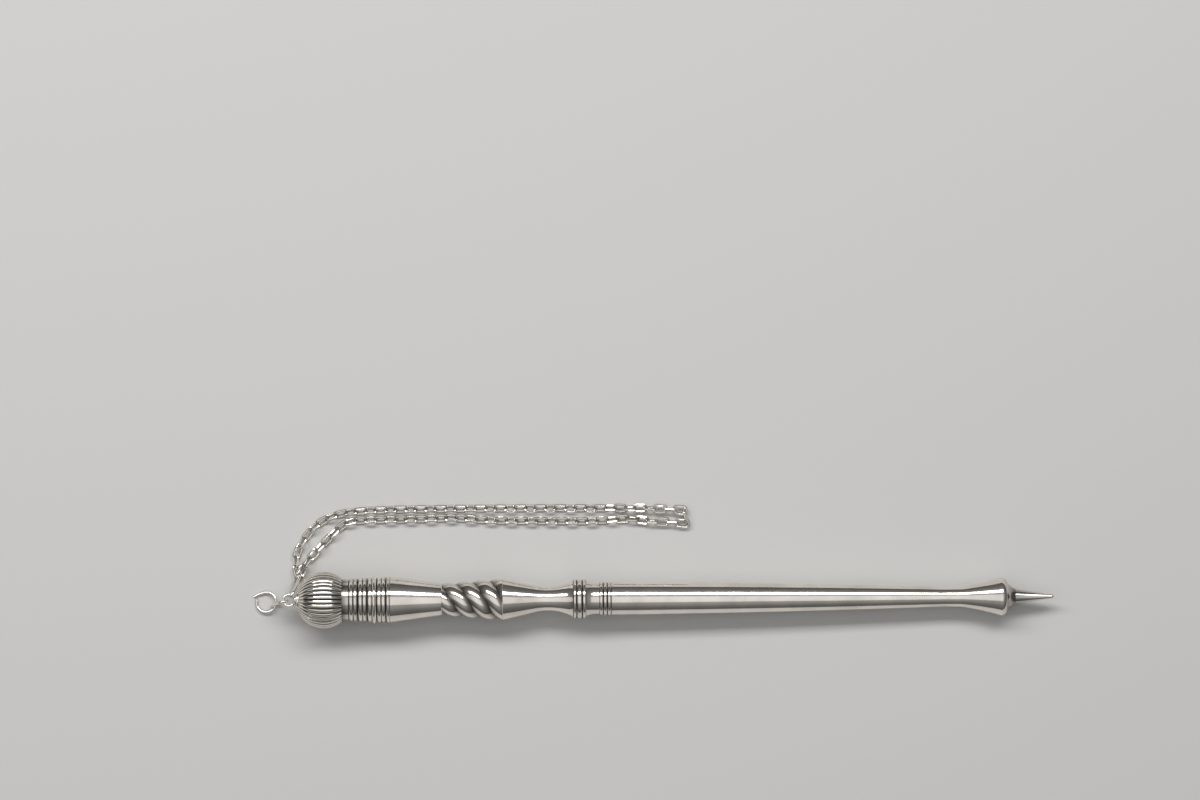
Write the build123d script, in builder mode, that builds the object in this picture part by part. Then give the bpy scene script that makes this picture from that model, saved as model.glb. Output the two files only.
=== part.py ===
"""Yad, a pointer for reading from a scroll, with its chain.

The pointer is a stack of turned sections on a tie rod: a fluted knob with an eyelet, a ribbed
collar, a tapered barrel, a rope-twist grip, a waisted sleeve, a beaded collar, a ringed ferrule, a
long shaft, a bud and a slim finger. From the eyelet hang a link with an open hanging ring, and a
gathering link that holds both ends of a cable chain, which lies folded double beside the pointer.

Millimetres, +Z up. The pointer lies along +X on the surface that it rests on, touching it with the
knob and the bud, and the origin is on that surface, under the middle of the pointer and its ring.
"""

import math
import os

from build123d import *

os.makedirs("parts", exist_ok=True)

# Fluted knob
knob_radius = 7.4
knob_end_radius = 3.5
knob_neck_radius = 5.7
knob_neck_length = 1.8
knob_lobes = 36
knob_bands = 8
flute_depth = 0.06

# Ribbed collar, whose ribs stand in pairs, with one more beside the barrel
rib_pairs = 4
pair_pitch = 2.45
rib_spacing = 0.98
rib_depth = 0.55
rib_notch = 0.3
first_rib_radius = 5.65
last_rib_radius = 6.15
last_rib_width = 1.0
great_pair = 2
great_rib_rise = 0.5

# Tapered barrel
barrel_length = 13.5
barrel_radius = 6.1

# Rope-twist grip
grip_length = 15.8
grip_start_radius = 4.2
grip_end_radius = 5.6
grip_strands = 3
grip_lead = 13.4
grip_groove = 0.15
strand_facets = 5
grip_bands = 14

# Waisted sleeve
cone_length = 8.4
cone_end_radius = 3.6
waist_radius = 3.15
waist_reach = 12.6
sleeve_length = 18.5
sleeve_mouth_radius = 4.9

# Beaded collar
bead_widths = (0.9, 1.5, 1.0)
bead_radius = 5.2
bead_depth = 0.4
bead_flat = 0.4

# Ringed ferrule
scotia_length = 3.4
scotia_start_radius = 4.8
scotia_hollow = 0.25
fine_ring_count = 3
fine_ring_pitch = 1.05
fine_ring_depth = 0.3
ferrule_radius = 4.4

# Tapered shaft
shaft_length = 91.55
shaft_head_radius = 4.35
shaft_middle_radius = 3.8
shaft_middle_reach = 42.0
shaft_waist_radius = 2.62
shaft_waist_reach = 87.0
shaft_foot_radius = 2.68

# Bud
bud_flare_length = 10.3
bud_flare_middle_radius = 3.7
bud_radius = 5.05
bud_rim_length = 1.44
bud_rim_drop = 0.65
bud_rim_middle = (0.9, 0.22)
bud_front_length = 2.36
bud_front_middle = 1.05
bud_front_middle_radius = 2.8
bud_nose_radius = 2.0

# Finger
finger_length = 10.15
finger_base_radius = 1.9
finger_tip_radius = 0.55

# Tie rod, tenons and their sockets
rod_radius = 1.5
rod_in_knob = 6.0
rod_in_shaft = 10.0
tenon_radius = 1.6
tenon_length = 5.0
tang_radius = 0.8
tang_length = 4.0
fit_clearance = 0.05
end_clearance = 0.2

# Eyelet and its seat
eye_radius = 1.5
eye_wire = 0.7
shank_radius = 0.8
shank_length = 4.5
seat_base_radius = 2.3
seat_base_length = 0.6
seat_top_radius = 1.5
seat_top_length = 0.5

# Wire links and the hanging ring
link_wire = 0.7
link_width = 3.2
ring_link_length = 9.0
gathering_link_length = 10.0
hanging_ring_radius = 2.6
hanging_ring_arc = 310.0
hanging_ring_straight = 2.4
hanging_ring_straight_place = 53.0
wire_sides = 6
bend_turn = 45.0
wire_gap = 0.1
floor_gap = 0.02
ring_link_heading = 195.0
hanging_ring_heading = 165.0
gathering_link_heading = 72.0
gathering_link_roll = 27.0
gathering_link_lift = 0.3

# Chain
chain_wire = 0.65
chain_link_length = 4.1
chain_link_width = 2.57
chain_wire_sides = 5
chain_pitch = 2.65
chain_roll = 45.0
easing_links = 8
strand_runs = 6
far_end_place = 5.0
far_end_roll = 35.0
near_end_place = 55.0
near_end_roll = 25.0
fold_place = (8.4, 21.5)
fold_heading = -80.0

# Routes of the chain's two strands, from the gathering link to the link at the fold
far_route = [
    (-93.95, 9.45, 1.15),
    (-93.0, 14.0, 1.1),
    (-88.7, 19.9, 1.05),
    (-82.5, 23.0, 1.03),
    (-72.0, 23.8, 1.03),
    (-50.0, 24.0, 1.03),
    (-25.0, 24.0, 1.03),
    (-14.0, 23.9, 1.03),
    (-4.0, 23.8, 1.31),
    (2.5, 23.6, 1.31),
]
near_route = [
    (-90.95, 10.1, 1.76),
    (-87.7, 13.6, 1.17),
    (-84.0, 17.4, 1.14),
    (-80.6, 20.6, 1.08),
    (-75.5, 21.1, 1.03),
    (-62.0, 21.2, 1.03),
    (-51.5, 21.6, 1.03),
    (-42.0, 20.7, 1.03),
    (-28.0, 20.6, 1.03),
    (-14.0, 20.4, 1.03),
    (-6.0, 21.3, 1.25),
    (-2.0, 20.4, 1.31),
    (3.5, 20.2, 1.31),
]

# Places of the sections along the axis, from the knob's outer end
knob_end_angle = math.acos(knob_end_radius / knob_radius)
knob_neck_angle = math.acos(knob_neck_radius / knob_radius)
knob_centre = knob_radius * math.sin(knob_end_angle)
knob_neck_start = knob_centre + knob_radius * math.sin(knob_neck_angle)
collar_start = knob_neck_start + knob_neck_length
barrel_start = collar_start + rib_pairs * pair_pitch + last_rib_width
grip_start = barrel_start + barrel_length
sleeve_start = grip_start + grip_length
beads_start = sleeve_start + sleeve_length
ferrule_start = beads_start + sum(bead_widths)
rings_start = ferrule_start + scotia_length
shaft_start = rings_start + fine_ring_count * fine_ring_pitch
bud_start = shaft_start + shaft_length
bud_rim = bud_start + bud_flare_length
finger_start = bud_rim + bud_rim_length + bud_front_length
tip = finger_start + finger_length
eye_centre = -(seat_base_length + seat_top_length + eye_radius)

# The axis leans a little, because the knob is thicker than the bud that carries the other end
lobe_half_angle = math.pi / knob_lobes
knob_rest_radius = knob_radius * math.cos(lobe_half_angle / 2)
lean = math.asin((knob_rest_radius - bud_radius) / (bud_rim - knob_centre))
eye_height = knob_rest_radius + (knob_centre - eye_centre) * math.sin(lean)


def wire_bend(width, wire):
    """Radius of the middle of the wire at a link's end."""
    return (width - wire) / 2


link_bend = wire_bend(link_width, link_wire)
eye_hook = (link_wire + eye_wire) / 2 + wire_gap
ring_hook = link_wire + wire_gap


def foot_reach(length):
    """Distance from the wire that a link hangs on to the middle of the bend at its foot."""
    return length - link_width + link_bend - eye_hook


def link_slope(length, lift):
    """Slope of a link hung on the eyelet: down to a lift above the surface, or plumb if it is too short."""
    foot_drop = (link_bend + link_wire / 2) / math.cos(math.radians(bend_turn) / 2)
    return math.asin(min(1, (eye_height - foot_drop - lift) / foot_reach(length)))


def heading(angle):
    """Level direction at an angle from +X, in degrees."""
    return Vector(math.cos(math.radians(angle)), math.sin(math.radians(angle)), 0)


ring_link_slope = link_slope(ring_link_length, floor_gap)
gathering_link_slope = link_slope(gathering_link_length, gathering_link_lift)

# End of the hanging ring's straight, seen from the ring's middle, and its reach away from the ring link
straight_heading = hanging_ring_heading - hanging_ring_straight_place
straight_start = heading(straight_heading) * hanging_ring_radius
straight_end = straight_start + heading(straight_heading + 90) * hanging_ring_straight
straight_reach = straight_end.dot(heading(hanging_ring_heading))

# The straight's end beyond the eyelet sets where the middle of the whole lies
ring_link_foot = heading(ring_link_heading) * (
    eye_radius + foot_reach(ring_link_length) * math.cos(ring_link_slope)
)
ring_middle = ring_link_foot + heading(hanging_ring_heading) * hanging_ring_radius
whole_start = eye_centre + ring_middle.X + straight_end.X
middle = (whole_start + tip) / 2

axis_direction = Vector(math.cos(lean), 0, -math.sin(lean))
knob_middle = Vector((knob_centre - middle) * math.cos(lean), 0, knob_rest_radius)


def on_axis(along):
    """Point of the pointer's axis at a distance from the knob's outer end."""
    return knob_middle + axis_direction * (along - knob_centre)


def cross_plane(along):
    """Plane square to the axis, facing the tip."""
    return Plane(origin=on_axis(along), x_dir=(0, 1, 0), z_dir=axis_direction)


profile_plane = Plane(origin=on_axis(0), x_dir=axis_direction, z_dir=(0, -1, 0))
pointer_axis = Axis(on_axis(0), axis_direction)


def lobed_outline(radius):
    """Corners of the knob's fluted section: a groove and two crest corners for each lobe."""
    corners = []
    for lobe in range(knob_lobes):
        middle_angle = (2 * lobe + 1) * lobe_half_angle
        for share, height in ((-1, 1 - flute_depth), (-0.5, 1), (0.5, 1)):
            angle = middle_angle + share * lobe_half_angle
            corners.append((radius * height * math.cos(angle), radius * height * math.sin(angle)))
    return corners


def twisted_outline(radius, turn):
    """Corners of the grip's section, one rounded lobe for each strand, turned about the axis."""
    corners = []
    count = grip_strands * strand_facets
    for corner in range(count):
        angle = 2 * math.pi * corner / count
        height = 1 - grip_groove + grip_groove * abs(math.cos(grip_strands * angle / 2))
        corners.append((radius * height * math.cos(angle + turn), radius * height * math.sin(angle + turn)))
    return corners


with BuildPart() as melon_knob:
    for band in range(knob_bands + 1):
        latitude = -knob_end_angle + (knob_end_angle + knob_neck_angle) * band / knob_bands
        with BuildSketch(cross_plane(knob_centre + knob_radius * math.sin(latitude))):
            Polygon(*lobed_outline(knob_radius * math.cos(latitude)), align=None)
    loft(ruled=True)
    with BuildSketch(cross_plane(knob_neck_start)):
        Circle(knob_neck_radius * (1 - flute_depth))
    extrude(amount=knob_neck_length)
    with BuildSketch(cross_plane(collar_start)):
        Circle(rod_radius + fit_clearance)
    extrude(amount=-(rod_in_knob + end_clearance), mode=Mode.SUBTRACT)
    with BuildSketch(cross_plane(0)):
        Circle(shank_radius + fit_clearance)
    extrude(amount=shank_length - seat_base_length - seat_top_length + end_clearance, mode=Mode.SUBTRACT)
melon_knob.part.label = "melon_knob"
export_step(melon_knob.part, "parts/melon_knob.step")

bore_radius = rod_radius + fit_clearance

with BuildPart() as ribbed_collar:
    with BuildSketch(profile_plane):
        rib_line = [(collar_start, bore_radius)]
        for pair in range(rib_pairs):
            start = collar_start + pair * pair_pitch
            notch = start + pair_pitch / 2
            crest = first_rib_radius + (last_rib_radius - first_rib_radius) * pair / rib_pairs
            rise = great_rib_rise if pair == great_pair else 0
            rib_line.append((start, crest - rib_depth))
            rib_line.append((notch - rib_spacing / 2, crest))
            rib_line.append((notch, crest - rib_notch))
            rib_line.append((notch + rib_spacing / 2, crest + rise))
        rib_line.append((barrel_start - last_rib_width, last_rib_radius - rib_depth))
        rib_line.append((barrel_start - last_rib_width / 2, last_rib_radius))
        rib_line.append((barrel_start, last_rib_radius - rib_notch))
        rib_line.append((barrel_start, bore_radius))
        with BuildLine():
            Polyline(*rib_line, close=True)
        make_face()
    revolve(axis=pointer_axis)
ribbed_collar.part.label = "ribbed_collar"
export_step(ribbed_collar.part, "parts/ribbed_collar.step")

with BuildPart() as tapered_barrel:
    with BuildSketch(profile_plane):
        with BuildLine():
            Polyline(
                (barrel_start, bore_radius),
                (barrel_start, barrel_radius),
                (grip_start, grip_start_radius),
                (grip_start, bore_radius),
                close=True,
            )
        make_face()
    revolve(axis=pointer_axis)
tapered_barrel.part.label = "tapered_barrel"
export_step(tapered_barrel.part, "parts/tapered_barrel.step")

with BuildPart() as twisted_grip:
    for band in range(grip_bands + 1):
        along = grip_length * band / grip_bands
        radius = grip_start_radius + (grip_end_radius - grip_start_radius) * along / grip_length
        with BuildSketch(cross_plane(grip_start + along)):
            Polygon(*twisted_outline(radius, 2 * math.pi * along / grip_lead), align=None)
    loft(ruled=True)
    with BuildSketch(cross_plane(grip_start)):
        Circle(bore_radius)
    extrude(amount=grip_length, mode=Mode.SUBTRACT)
twisted_grip.part.label = "twisted_grip"
export_step(twisted_grip.part, "parts/twisted_grip.step")

with BuildPart() as waist_sleeve:
    with BuildSketch(profile_plane):
        with BuildLine():
            Line((sleeve_start, bore_radius), (sleeve_start, grip_end_radius))
            Line((sleeve_start, grip_end_radius), (sleeve_start + cone_length, cone_end_radius))
            ThreePointArc(
                (sleeve_start + cone_length, cone_end_radius),
                (sleeve_start + waist_reach, waist_radius),
                (beads_start, sleeve_mouth_radius),
            )
            Line((beads_start, sleeve_mouth_radius), (beads_start, bore_radius))
            Line((beads_start, bore_radius), (sleeve_start, bore_radius))
        make_face()
    revolve(axis=pointer_axis)
waist_sleeve.part.label = "waist_sleeve"
export_step(waist_sleeve.part, "parts/waist_sleeve.step")

with BuildPart() as beaded_collar:
    with BuildSketch(profile_plane):
        bead_line = [(beads_start, bore_radius)]
        bead_start = beads_start
        for width in bead_widths:
            flat = (1 - bead_flat) / 2 * width
            bead_line.append((bead_start, bead_radius - bead_depth))
            bead_line.append((bead_start + flat, bead_radius))
            bead_line.append((bead_start + width - flat, bead_radius))
            bead_start += width
        bead_line.append((ferrule_start, bead_radius - bead_depth))
        bead_line.append((ferrule_start, bore_radius))
        with BuildLine():
            Polyline(*bead_line, close=True)
        make_face()
    revolve(axis=pointer_axis)
beaded_collar.part.label = "beaded_collar"
export_step(beaded_collar.part, "parts/beaded_collar.step")

with BuildPart() as ring_ferrule:
    with BuildSketch(profile_plane):
        ring_foot = ferrule_radius - fine_ring_depth
        ring_line = [(rings_start, ring_foot)]
        for ring in range(fine_ring_count):
            start = rings_start + ring * fine_ring_pitch
            ring_line.append((start + fine_ring_pitch / 2, ferrule_radius))
            ring_line.append((start + fine_ring_pitch, ring_foot))
        ring_line.append((shaft_start, bore_radius))
        ring_line.append((ferrule_start, bore_radius))
        ring_line.append((ferrule_start, scotia_start_radius))
        with BuildLine():
            ThreePointArc(
                (ferrule_start, scotia_start_radius),
                (
                    ferrule_start + scotia_length / 2,
                    (scotia_start_radius + ring_foot) / 2 - scotia_hollow,
                ),
                (rings_start, ring_foot),
            )
            Polyline(*ring_line)
        make_face()
    revolve(axis=pointer_axis)
ring_ferrule.part.label = "ring_ferrule"
export_step(ring_ferrule.part, "parts/ring_ferrule.step")

with BuildPart() as tapered_shaft:
    with BuildSketch(profile_plane):
        with BuildLine():
            Polyline(
                (shaft_start, shaft_head_radius),
                (shaft_start + shaft_middle_reach, shaft_middle_radius),
                (shaft_start + shaft_waist_reach, shaft_waist_radius),
                (bud_start, shaft_foot_radius),
                (bud_start, tenon_radius + fit_clearance),
                (bud_start - tenon_length - end_clearance, tenon_radius + fit_clearance),
                (bud_start - tenon_length - end_clearance, 0),
                (shaft_start + rod_in_shaft + end_clearance, 0),
                (shaft_start + rod_in_shaft + end_clearance, bore_radius),
                (shaft_start, bore_radius),
                close=True,
            )
        make_face()
    revolve(axis=pointer_axis)
tapered_shaft.part.label = "tapered_shaft"
export_step(tapered_shaft.part, "parts/tapered_shaft.step")

with BuildPart() as bud:
    bud_shoulder = bud_rim + bud_rim_length
    with BuildSketch(profile_plane):
        with BuildLine():
            ThreePointArc(
                (bud_start, shaft_foot_radius),
                (bud_start + bud_flare_length / 2, bud_flare_middle_radius),
                (bud_rim, bud_radius),
            )
            ThreePointArc(
                (bud_rim, bud_radius),
                (bud_rim + bud_rim_middle[0], bud_radius - bud_rim_middle[1]),
                (bud_shoulder, bud_radius - bud_rim_drop),
            )
            ThreePointArc(
                (bud_shoulder, bud_radius - bud_rim_drop),
                (bud_shoulder + bud_front_middle, bud_front_middle_radius),
                (finger_start, bud_nose_radius),
            )
            Polyline(
                (finger_start, bud_nose_radius),
                (finger_start, tang_radius + fit_clearance),
                (finger_start - tang_length - end_clearance, tang_radius + fit_clearance),
                (finger_start - tang_length - end_clearance, 0),
                (bud_start - tenon_length, 0),
                (bud_start - tenon_length, tenon_radius),
                (bud_start, tenon_radius),
                (bud_start, shaft_foot_radius),
            )
        make_face()
    revolve(axis=pointer_axis)
bud.part.label = "bud"
export_step(bud.part, "parts/bud.step")

with BuildPart() as finger:
    round_start = tip - finger_tip_radius
    round_middle = finger_tip_radius * math.sqrt(0.5)
    with BuildSketch(profile_plane):
        with BuildLine():
            Polyline(
                (round_start, finger_tip_radius),
                (finger_start, finger_base_radius),
                (finger_start, tang_radius),
                (finger_start - tang_length, tang_radius),
                (finger_start - tang_length, 0),
                (tip, 0),
            )
            ThreePointArc(
                (tip, 0), (round_start + round_middle, round_middle), (round_start, finger_tip_radius)
            )
        make_face()
    revolve(axis=pointer_axis)
finger.part.label = "finger"
export_step(finger.part, "parts/finger.step")

with BuildPart() as tie_rod:
    with BuildSketch(cross_plane(collar_start - rod_in_knob)):
        Circle(rod_radius)
    extrude(amount=shaft_start + rod_in_shaft - collar_start + rod_in_knob)
tie_rod.part.label = "tie_rod"
export_step(tie_rod.part, "parts/tie_rod.step")

with BuildPart() as eye_seat:
    seat_step = -seat_base_length
    seat_end = -(seat_base_length + seat_top_length)
    with BuildSketch(profile_plane):
        with BuildLine():
            Polyline(
                (0, shank_radius + fit_clearance),
                (0, seat_base_radius),
                (seat_step, seat_base_radius),
                (seat_step, seat_top_radius),
                (seat_end, seat_top_radius),
                (seat_end, shank_radius + fit_clearance),
                close=True,
            )
        make_face()
    revolve(axis=pointer_axis)
eye_seat.part.label = "eye_seat"
export_step(eye_seat.part, "parts/eye_seat.step")

eye_point = on_axis(eye_centre)
eye_axis = Axis(eye_point, profile_plane.y_dir)

with BuildPart() as eyelet:
    with BuildSketch(profile_plane):
        with Locations((eye_centre + eye_radius, 0)):
            RegularPolygon(eye_wire / 2, wire_sides)
    revolve(axis=eye_axis)
    with BuildSketch(cross_plane(seat_end)):
        Circle(shank_radius)
    extrude(amount=shank_length)
eyelet.part.label = "eyelet"
export_step(eyelet.part, "parts/eyelet.step")


def wire_link(length, width, wire, sides):
    """Oval link of bent wire, flat on XY with its length along X, each end bent in three straights."""
    bend = wire_bend(width, wire)
    reach = (length - wire) / 2
    corner = bend * math.tan(math.radians(bend_turn) / 2)
    with BuildPart() as link:
        with BuildLine() as half:
            Polyline(
                (0, bend),
                (reach - bend + corner, bend),
                (reach, corner),
                (reach, -corner),
                (reach - bend + corner, -bend),
                (0, -bend),
            )
        with BuildSketch(Plane(origin=(0, bend, 0), x_dir=(0, 1, 0), z_dir=(1, 0, 0))):
            RegularPolygon(wire / 2, sides)
        sweep(path=half.wire(), transition=Transition.RIGHT)
        mirror(about=Plane.YZ)
    return link.part


def hung_link_plane(direction, length, slope, roll):
    """Plane of a link that hangs on the eyelet's wire: origin at its middle, x down its length."""
    down = direction * math.cos(slope) - Vector(0, 0, math.sin(slope))
    square = down.cross(direction.cross(Vector(0, 0, 1))).normalized()
    side = square.rotate(Axis((0, 0, 0), down), roll)
    hung_at = eye_point + direction * eye_radius
    link_middle = hung_at + down * ((length - link_wire) / 2 - eye_hook)
    return Plane(origin=link_middle, x_dir=down, z_dir=side.cross(down))


ring_link_direction = heading(ring_link_heading)
ring_link_plane = hung_link_plane(ring_link_direction, ring_link_length, ring_link_slope, 0)

with BuildPart() as ring_link:
    with Locations(ring_link_plane):
        add(wire_link(ring_link_length, link_width, link_wire, wire_sides))
ring_link.part.label = "ring_link"
export_step(ring_link.part, "parts/ring_link.step")

gathering_link_plane = hung_link_plane(
    heading(gathering_link_heading), gathering_link_length, gathering_link_slope, gathering_link_roll
)

with BuildPart() as gathering_link:
    with Locations(gathering_link_plane):
        add(wire_link(gathering_link_length, link_width, link_wire, wire_sides))
gathering_link.part.label = "gathering_link"
export_step(gathering_link.part, "parts/gathering_link.step")

# The hanging ring lies on the surface, with its near side lifted in the ring link's foot
ring_link_foot_point = ring_link_plane.origin + ring_link_plane.x_dir * ((ring_link_length - link_width) / 2)
ring_near_point = ring_link_foot_point - Vector(0, 0, link_bend - ring_hook)
ring_drop = ring_near_point.Z - link_wire / 2 - floor_gap
ring_fall = math.asin(ring_drop / (hanging_ring_radius + straight_reach))
ring_outward = heading(hanging_ring_heading) * math.cos(ring_fall) - Vector(0, 0, math.sin(ring_fall))
ring_swing_axis = heading(hanging_ring_heading - 90)
ring_normal = ring_outward.cross(ring_swing_axis)
ring_centre = ring_near_point + ring_outward * hanging_ring_radius
ring_axis = Axis(ring_centre, ring_normal)
straight_side = ring_outward.rotate(Axis((0, 0, 0), ring_normal), hanging_ring_straight_place)
straight_plane = Plane(origin=ring_centre, x_dir=straight_side, z_dir=straight_side.cross(ring_normal))

with BuildPart() as hanging_ring:
    with BuildSketch(straight_plane) as ring_section:
        with Locations((hanging_ring_radius, 0)):
            RegularPolygon(link_wire / 2, wire_sides)
    extrude(amount=hanging_ring_straight)
    revolve(ring_section.sketch, axis=ring_axis, revolution_arc=hanging_ring_arc)
hanging_ring.part.label = "hanging_ring"
export_step(hanging_ring.part, "parts/hanging_ring.step")


def gathering_point(place):
    """Middle of the gathering link's wire round its foot, at an angle from the foot's end."""
    off_straight = (place + bend_turn / 2) % bend_turn - bend_turn / 2
    reach = link_bend / math.cos(math.radians(off_straight))
    along = gathering_link_plane.x_dir * math.cos(math.radians(place))
    across = gathering_link_plane.y_dir * math.sin(math.radians(place))
    to_foot = (gathering_link_length - link_width) / 2
    foot = gathering_link_plane.origin + gathering_link_plane.x_dir * to_foot
    return foot + (along + across) * reach


def smooth_line(points):
    """Smooth line along a route: one curve for each inner point, joined at the middles of the runs."""
    middles = [(a + b) / 2 for a, b in zip(points[1:-2], points[2:-1])]
    ends = [points[0], *middles, points[-1]]
    with BuildLine() as line:
        for start, corner, end in zip(ends, points[1:-1], ends[1:]):
            Bezier(start, corner, end)
    return line.wire()


def strand_planes(line, end_roll):
    """Planes of a strand's links along its line, by turns to one side and to the other.

    The first link hooks on the gathering link's wire, and the last one, which lies level, on the wire
    of the link at the fold. Near both ends the turn eases from what those links have.
    """
    first = chain_reach - gathering_hook
    last = line.length - chain_reach + fold_hook
    steps = 2 * round((last - first) / (2 * chain_pitch))
    planes = []
    for number in range(steps + 1):
        place = first + (last - first) * number / steps
        along = line.tangent_at(place, position_mode=PositionMode.LENGTH)
        level = along.cross(Vector(0, 0, 1)).normalized()
        from_fold = steps - number
        roll = chain_roll * min(1, from_fold / easing_links) - 90 * (from_fold % 2)
        roll += (end_roll - chain_roll) * max(0, 1 - number / easing_links)
        planes.append(
            Plane(
                origin=line.position_at(place, position_mode=PositionMode.LENGTH),
                x_dir=along,
                z_dir=level.cross(along).rotate(Axis((0, 0, 0), along), roll),
            )
        )
    return planes


chain_bend = wire_bend(chain_link_width, chain_wire)
chain_reach = (chain_link_length - chain_wire) / 2
gathering_hook = (link_wire + chain_wire) / 2 + wire_gap
fold_hook = chain_wire + wire_gap
chain_link = wire_link(chain_link_length, chain_link_width, chain_wire, chain_wire_sides)

# The link at the fold stands on edge across the two strands
fold_plane = Plane(
    origin=(*fold_place, chain_bend + chain_wire / 2 + floor_gap),
    x_dir=heading(fold_heading),
    z_dir=heading(fold_heading + 90),
)

with BuildPart() as fold_link:
    with Locations(fold_plane):
        add(chain_link)
fold_link.part.label = "fold_link"
export_step(fold_link.part, "parts/fold_link.step")

far_start = gathering_point(far_end_place)
far_end = fold_plane.origin - fold_plane.x_dir * chain_reach
near_start = gathering_point(near_end_place)
near_end = fold_plane.origin + fold_plane.x_dir * chain_reach
far_line = smooth_line([far_start, *(Vector(*point) for point in far_route), far_end])
near_line = smooth_line([near_start, *(Vector(*point) for point in near_route), near_end])

for side, line, end_roll in (("far", far_line, far_end_roll), ("near", near_line, near_end_roll)):
    link_planes = strand_planes(line, end_roll)
    print(side, "strand", round(line.length, 2), "mm,", len(link_planes), "links")
    for run in range(strand_runs):
        first_link = len(link_planes) * run // strand_runs
        next_link = len(link_planes) * (run + 1) // strand_runs
        with BuildPart() as chain_run:
            with Locations(*link_planes[first_link:next_link]):
                add(chain_link)
        chain_run.part.label = f"chain_{side}_{run + 1}"
        export_step(chain_run.part, f"parts/chain_{side}_{run + 1}.step")
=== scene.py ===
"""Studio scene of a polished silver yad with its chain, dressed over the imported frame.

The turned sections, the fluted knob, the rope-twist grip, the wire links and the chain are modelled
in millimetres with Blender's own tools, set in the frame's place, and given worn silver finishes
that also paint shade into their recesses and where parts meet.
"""

from __future__ import annotations

import logging
import math
from collections.abc import Callable, Iterable, Sequence
from dataclasses import dataclass
from enum import Enum

import bpy
from mathutils import Matrix, Vector


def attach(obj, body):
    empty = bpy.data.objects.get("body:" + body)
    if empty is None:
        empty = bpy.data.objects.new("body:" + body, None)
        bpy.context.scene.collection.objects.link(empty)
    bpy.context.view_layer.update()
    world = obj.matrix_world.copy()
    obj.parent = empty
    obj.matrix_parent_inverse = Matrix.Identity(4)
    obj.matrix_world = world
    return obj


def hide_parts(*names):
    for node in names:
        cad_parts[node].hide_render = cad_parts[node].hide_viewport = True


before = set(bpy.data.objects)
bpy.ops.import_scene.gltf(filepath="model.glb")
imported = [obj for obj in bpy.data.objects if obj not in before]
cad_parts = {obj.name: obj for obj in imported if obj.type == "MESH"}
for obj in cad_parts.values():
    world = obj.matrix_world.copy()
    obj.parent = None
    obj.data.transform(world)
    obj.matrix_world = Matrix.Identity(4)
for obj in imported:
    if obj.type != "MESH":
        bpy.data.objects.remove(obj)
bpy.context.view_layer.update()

log = logging.getLogger("yad")

MM = 0.001
SMOOTH_ANGLE = math.radians(30)
RECESS = "recess"

# Patterns of the finishes: repeats in a metre and octaves of finer noise
BLOOM = (160.0, 4.0)
SMEAR = (420.0, 6.0)
SWELL = (230.0, 1.0)
TOOL_LINES = (1.0, 3.0)

# Part of each pattern that shows, how far a film of tarnish goes on open metal, and how dull tarnish is
BLOOM_RANGE = (0.35, 0.75)
SMEAR_RANGE = (0.3, 0.7)
FILM = 0.22
DULLING = 0.18

# Share of a groove's depth where its painted shade and tarnished darkening begins, and over which it grows
# to full
GROOVE_LIP = 0.05
GROOVE_FADE = 0.45

# In millimetres: points closer than this are one, and points nearer to a ring than this lie on it
DOUBLE_GAP = 0.0005
RING_GAP = 0.001

Station = tuple[float, float]
Point = tuple[float, float, float]


class Body(Enum):
    """Bodies of the frame that the pieces ride on."""

    POINTER = "pointer"
    RING_LINK = "ring_link"
    HANGING_RING = "hanging_ring"
    CHAIN = "chain"


class Slot(Enum):
    """Material slots of the record."""

    POLISHED = "polished_silver"
    WIRE = "silver_wire"
    CHAIN = "chain_silver"


class Grain(Enum):
    """Way that the fine tool marks of a finish run, as scales of the marks along x, y and z."""

    TURNED = (9000.0, 260.0, 260.0)
    DRAWN = (900.0, 900.0, 900.0)
    BRUSHED = (300.0, 5000.0, 5000.0)


class Closing(Enum):
    """How the two ends of a turned wall are closed."""

    BORE = "bore"
    POLES = "poles"


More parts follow.
